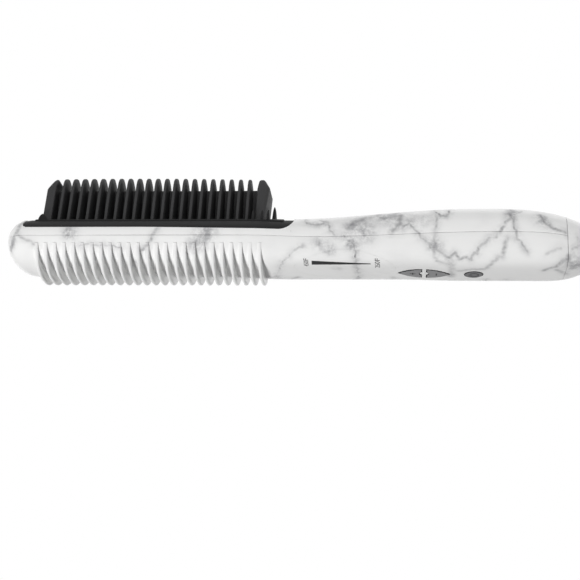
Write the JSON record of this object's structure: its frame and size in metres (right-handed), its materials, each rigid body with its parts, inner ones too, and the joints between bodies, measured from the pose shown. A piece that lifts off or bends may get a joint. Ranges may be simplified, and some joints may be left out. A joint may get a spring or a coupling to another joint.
{
  "type": "heated straightening comb",
  "caption": "Heated straightening comb with black comb blades, a ribbed white back, a marble-pattern handle with temperature and power buttons, and a swivel cord inlet.",
  "frame": {"origin": "middle of the tool's length and width, at the level of the tips of the back ribs, on which the tool lies", "axes": "+X from the rounded nose along the tool to the cord inlet, +Z the way the comb blades point, +Y across the blades, away from the side with the temperature scale"},
  "size_m": [0.2866, 0.039, 0.0536],
  "materials": {
    "marble_shell": "glossy white with a grey marble print",
    "black_nylon": "fine satin moulded black",
    "coated_aluminium": "black heat-proof coating, satin",
    "heater_ceramic": "matt sintered",
    "insulation_film": "amber film",
    "steel": "plain",
    "hot_side_resin": "matt glass-filled resin",
    "fuse_case": "plain",
    "sensor_bead": "dipped",
    "white_silicone": "smooth",
    "board_laminate": "solder mask",
    "capacitor_case": "moulded",
    "black_component": "moulded",
    "terminal_blue": "moulded",
    "lamp_resin": "moulded",
    "clear_resin": "frosted",
    "button_grey": "smooth mid grey",
    "brass": "plain",
    "brown_lead": "smooth"
  },
  "bodies": {
    "housing": {"back_shell": "marble_shell", "front_shell": "marble_shell", "end_cap": "marble_shell", "scale_window": "marble_shell", "comb_cover": "black_nylon", "guard_frame": "black_nylon", "heated_comb": "coated_aluminium", "heater_plates": "heater_ceramic", "heater_insulation": "insulation_film", "heater_clamp": "steel", "comb_carrier": "hot_side_resin", "comb_screws": "steel", "shell_screws": "steel", "thermal_fuse": "fuse_case", "temperature_sensor": "sensor_bead", "heater_leads": "white_silicone", "control_board": "board_laminate", "board_screws": "steel", "film_capacitor": "capacitor_case", "power_triac": "black_component", "control_chip": "black_component", "terminal_block": "terminal_blue", "indicator_leds": "lamp_resin", "light_diffuser": "clear_resin", "indicator_lens": "clear_resin", "tactile_switches": "black_component", "contact_brushes": "brass", "swivel_bracket": "hot_side_resin", "mains_leads": "brown_lead"},
    "hotter_button": {"hotter_button": "button_grey"},
    "cooler_button": {"cooler_button": "button_grey"},
    "power_button": {"power_button": "button_grey"},
    "cord_swivel": {"swivel_gland": "black_nylon", "slip_rings": "brass"}
  },
  "joints": [
    {"name": "hotter_press", "type": "slide", "parent": "housing", "child": "hotter_button", "axis": [0, 0, 1], "range_m": [0, 0.0006], "stiffness_N_per_m": 800},
    {"name": "cooler_press", "type": "slide", "parent": "housing", "child": "cooler_button", "axis": [0, 0, 1], "range_m": [0, 0.0006], "stiffness_N_per_m": 800},
    {"name": "power_press", "type": "slide", "parent": "housing", "child": "power_button", "axis": [0, 0, 1], "range_m": [0, 0.0006], "stiffness_N_per_m": 800},
    {"name": "cord_swivel_turn", "type": "hinge", "parent": "housing", "child": "cord_swivel", "pos_m": [0.13725, 0, 0.0168], "axis": [1, 0, 0], "continuous": true}
  ]
}
